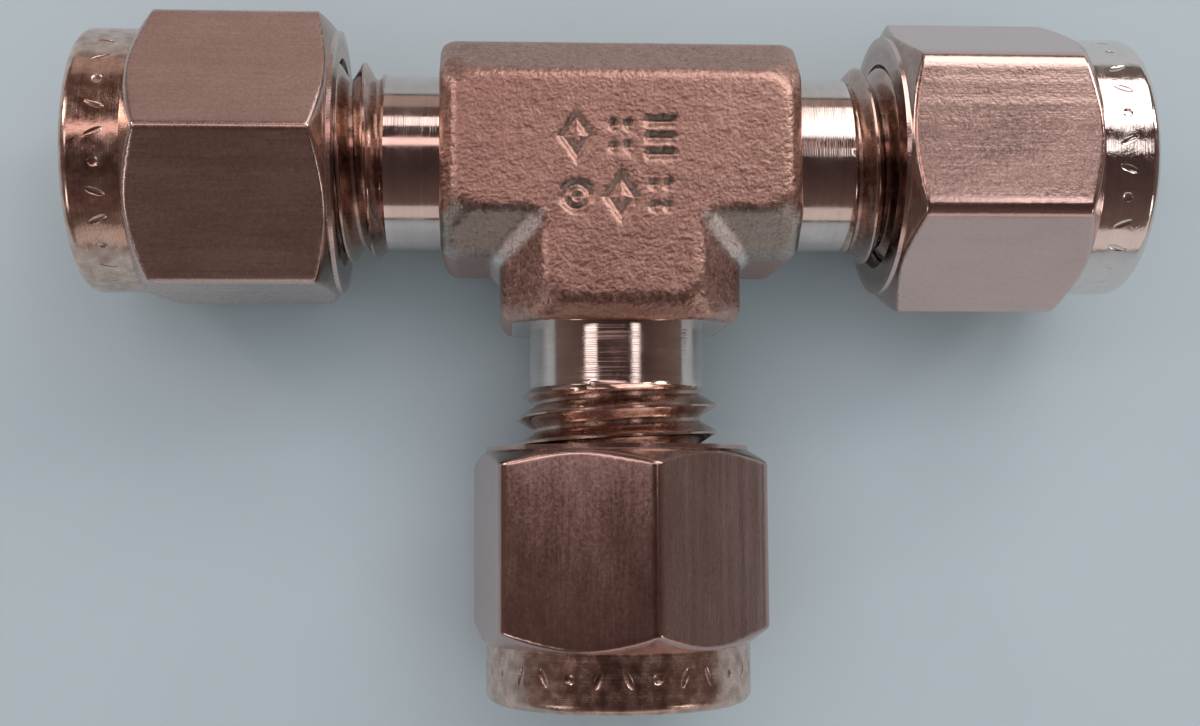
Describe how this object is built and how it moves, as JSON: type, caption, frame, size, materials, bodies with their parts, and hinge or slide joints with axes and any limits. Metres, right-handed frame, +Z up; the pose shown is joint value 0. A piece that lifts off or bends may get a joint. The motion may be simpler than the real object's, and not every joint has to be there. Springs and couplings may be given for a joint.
{
  "type": "compression tube union tee",
  "caption": "Steel union tee: a forged body with threaded ends and a hexagon nut over front and back ferrules on each end.",
  "frame": {"origin": "middle of the bounding box's bottom: the fitting lies on its back, and the centrelines of its three ends cross 0.127 mm towards +X, 9.114 mm towards +Y and 7.332 mm above the origin", "axes": "+X along the run, from the left port to the right port; the branch port points along -Y; +Z up, out of the front face of the body"},
  "size_m": [0.0496, 0.0328, 0.0147],
  "materials": {
    "forged_steel": "matt blasted forging with machined, brighter necks and threads",
    "machined_steel": "satin drawn bar, turned collar",
    "ferrule_steel": "fine turned"
  },
  "bodies": {
    "tee": {"tee_body": "forged_steel"},
    "nut_left": {"nut_left": "machined_steel"},
    "back_ferrule_left": {"back_ferrule_left": "ferrule_steel"},
    "front_ferrule_left": {"front_ferrule_left": "ferrule_steel"},
    "nut_right": {"nut_right": "machined_steel"},
    "back_ferrule_right": {"back_ferrule_right": "ferrule_steel"},
    "front_ferrule_right": {"front_ferrule_right": "ferrule_steel"},
    "nut_branch": {"nut_branch": "machined_steel"},
    "back_ferrule_branch": {"back_ferrule_branch": "ferrule_steel"},
    "front_ferrule_branch": {"front_ferrule_branch": "ferrule_steel"}
  },
  "joints": [
    {"name": "left_nut_travel", "type": "slide", "parent": "tee", "child": "back_ferrule_left", "axis": [-1, 0, 0], "range_m": [-0.00104, 0.0051]},
    {"name": "left_nut_turn", "type": "hinge", "parent": "back_ferrule_left", "child": "nut_left", "pos_m": [-0.01789, 0.00911, 0.00733], "axis": [-1, 0, 0], "range_deg": [-288, 1440]},
    {"name": "left_front_ferrule_float", "type": "slide", "parent": "tee", "child": "front_ferrule_left", "axis": [-1, 0, 0], "range_m": [0, 0.00102]},
    {"name": "right_nut_travel", "type": "slide", "parent": "tee", "child": "back_ferrule_right", "axis": [1, 0, 0], "range_m": [-0.00078, 0.00535]},
    {"name": "right_nut_turn", "type": "hinge", "parent": "back_ferrule_right", "child": "nut_right", "pos_m": [0.01789, 0.00911, 0.00733], "axis": [1, 0, 0], "range_deg": [-216, 1512]},
    {"name": "right_front_ferrule_float", "type": "slide", "parent": "tee", "child": "front_ferrule_right", "axis": [1, 0, 0], "range_m": [0, 0.000762]},
    {"name": "branch_nut_travel", "type": "slide", "parent": "tee", "child": "back_ferrule_branch", "axis": [0, -1, 0], "range_m": [-0.00167, 0.00447]},
    {"name": "branch_nut_turn", "type": "hinge", "parent": "back_ferrule_branch", "child": "nut_branch", "pos_m": [0.00013, -0.00954, 0.00733], "axis": [0, -1, 0], "range_deg": [-468, 1260]},
    {"name": "branch_front_ferrule_float", "type": "slide", "parent": "tee", "child": "front_ferrule_branch", "axis": [0, -1, 0], "range_m": [0, 0.00165]}
  ],
  "couplings": [
    {"joint": "left_nut_travel", "follows": "left_nut_turn", "m_per_rad": 0.00020213},
    {"joint": "right_nut_travel", "follows": "right_nut_turn", "m_per_rad": 0.00020213},
    {"joint": "branch_nut_travel", "follows": "branch_nut_turn", "m_per_rad": 0.00020213}
  ]
}
